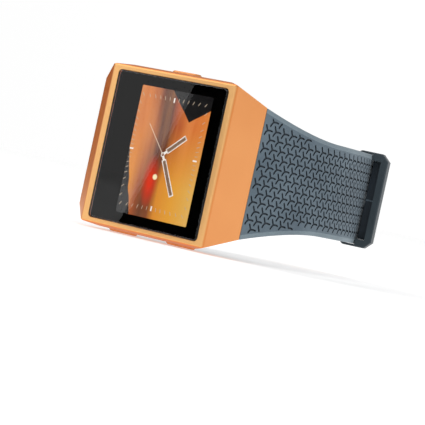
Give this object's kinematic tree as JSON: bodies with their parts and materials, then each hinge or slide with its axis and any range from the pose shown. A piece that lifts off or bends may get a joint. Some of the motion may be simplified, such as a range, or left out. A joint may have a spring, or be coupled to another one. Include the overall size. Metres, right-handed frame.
{
  "type": "gps running watch",
  "caption": "Square-faced running watch with a sloped metal case, dark glass, side buttons and a textured strap buckled into a loop, lying on its side.",
  "frame": {"origin": "centre of the cover glass's outer face", "axes": "+X towards 12 o'clock, +Y from the dial through the wrist loop, +Z (up) towards 9 o'clock; the watch stands on its 3 o'clock side"},
  "size_m": [0.0568, 0.0688, 0.039],
  "materials": {
    "orange_anodised": "burnt orange anodised, satin",
    "black_glass": "dark polished glass",
    "black_ink": "printed black border",
    "black_glue": "matt",
    "display": "lit colour display",
    "backlight": "white diffuser",
    "flex_film": "amber polyimide film",
    "chassis_metal": "bead blasted",
    "steel": "brushed",
    "circuit_board": "green solder mask",
    "chip_black": "moulded black",
    "capacitor": "ceramic tan",
    "battery_foil": "foil pouch",
    "copper": "bare copper",
    "gold_contact": "gold plated",
    "vent_membrane": "white porous film",
    "back_plastic": "fine matt black",
    "sensor_glass": "dark polished window",
    "led_lens": "clear green",
    "photodiode": "dark glossy",
    "magnet": "nickel plated",
    "seal_rubber": "matt black",
    "slate_silicone": "slate blue silicone, debossed with small three-armed marks"
  },
  "bodies": {
    "watch": {"case_body": "orange_anodised", "cover_glass": "black_glass", "display_mask": "black_ink", "glass_adhesive": "black_glue", "display_panel": "display", "display_backlight": "backlight", "display_flex": "flex_film", "nfc_antenna": "copper", "chassis": "chassis_metal", "chassis_screws": "steel", "main_board": "circuit_board", "processor_chip": "chip_black", "satellite_receiver_chip": "chip_black", "radio_shield": "steel", "radio_chip": "chip_black", "board_capacitors": "capacitor", "battery": "battery_foil", "vibration_motor": "steel", "satellite_antenna": "copper", "pressure_vent_membrane": "vent_membrane", "back_cover": "back_plastic", "back_gasket": "seal_rubber", "sensor_window": "sensor_glass", "sensor_board": "circuit_board", "sensor_leds": "led_lens", "sensor_photodiodes": "photodiode", "sensor_light_baffle": "back_plastic", "charging_contacts": "gold_contact", "charging_magnets": "magnet", "button_switches": "chip_black", "upper_strap": "slate_silicone", "lower_strap": "slate_silicone", "upper_strap_connector": "steel", "lower_strap_connector": "steel", "release_leaf_springs": "steel", "buckle_pin": "steel", "back_button_seal": "seal_rubber", "back_button_dome": "steel", "top_button_seal": "seal_rubber", "top_button_dome": "steel", "bottom_button_seal": "seal_rubber", "bottom_button_dome": "steel"},
    "back_button": {"back_button": "orange_anodised", "back_button_clip": "steel"},
    "top_button": {"top_button": "orange_anodised", "top_button_clip": "steel"},
    "bottom_button": {"bottom_button": "orange_anodised", "bottom_button_clip": "steel"},
    "upper_release_button": {"upper_release_button": "steel"},
    "lower_release_button": {"lower_release_button": "steel"},
    "buckle_frame": {"buckle_frame": "orange_anodised"},
    "buckle_tang": {"buckle_tang": "orange_anodised"},
    "keeper_loop": {"keeper_loop": "slate_silicone"}
  },
  "joints": [
    {"name": "back_button_press", "type": "slide", "parent": "watch", "child": "back_button", "axis": [0, 0, -1], "range_m": [0, 0.0004], "stiffness_N_per_m": 6000, "springref_m": -0.0001, "deforming": ["back_button_dome"]},
    {"name": "top_button_press", "type": "slide", "parent": "watch", "child": "top_button", "axis": [0, 0, 1], "range_m": [0, 0.0004], "stiffness_N_per_m": 6000, "springref_m": -0.0001, "deforming": ["top_button_dome"]},
    {"name": "bottom_button_press", "type": "slide", "parent": "watch", "child": "bottom_button", "axis": [0, 0, 1], "range_m": [0, 0.0004], "stiffness_N_per_m": 6000, "springref_m": -0.0001, "deforming": ["bottom_button_dome"]},
    {"name": "upper_release_press", "type": "slide", "parent": "watch", "child": "upper_release_button", "axis": [0.9686, -0.2486, 0], "range_m": [0, 0.0005], "stiffness_N_per_m": 4000, "springref_m": -0.0001},
    {"name": "lower_release_press", "type": "slide", "parent": "watch", "child": "lower_release_button", "axis": [-0.9686, -0.2486, 0], "range_m": [0, 0.0005], "stiffness_N_per_m": 4000, "springref_m": -0.0001},
    {"name": "buckle_frame_hinge", "type": "hinge", "parent": "watch", "child": "buckle_frame", "pos_m": [0.00365, 0.06322, 0], "axis": [0, 0, 1], "range_deg": [-14, 2]},
    {"name": "buckle_tang_hinge", "type": "hinge", "parent": "buckle_frame", "child": "buckle_tang", "pos_m": [0.00365, 0.06322, 0], "axis": [0, 0, 1], "range_deg": [-20, 0]},
    {"name": "keeper_slide", "type": "hinge", "parent": "watch", "child": "keeper_loop", "pos_m": [-0.02961, 0.02707, 0], "axis": [0, 0, 1], "range_deg": [-15, 1]}
  ]
}
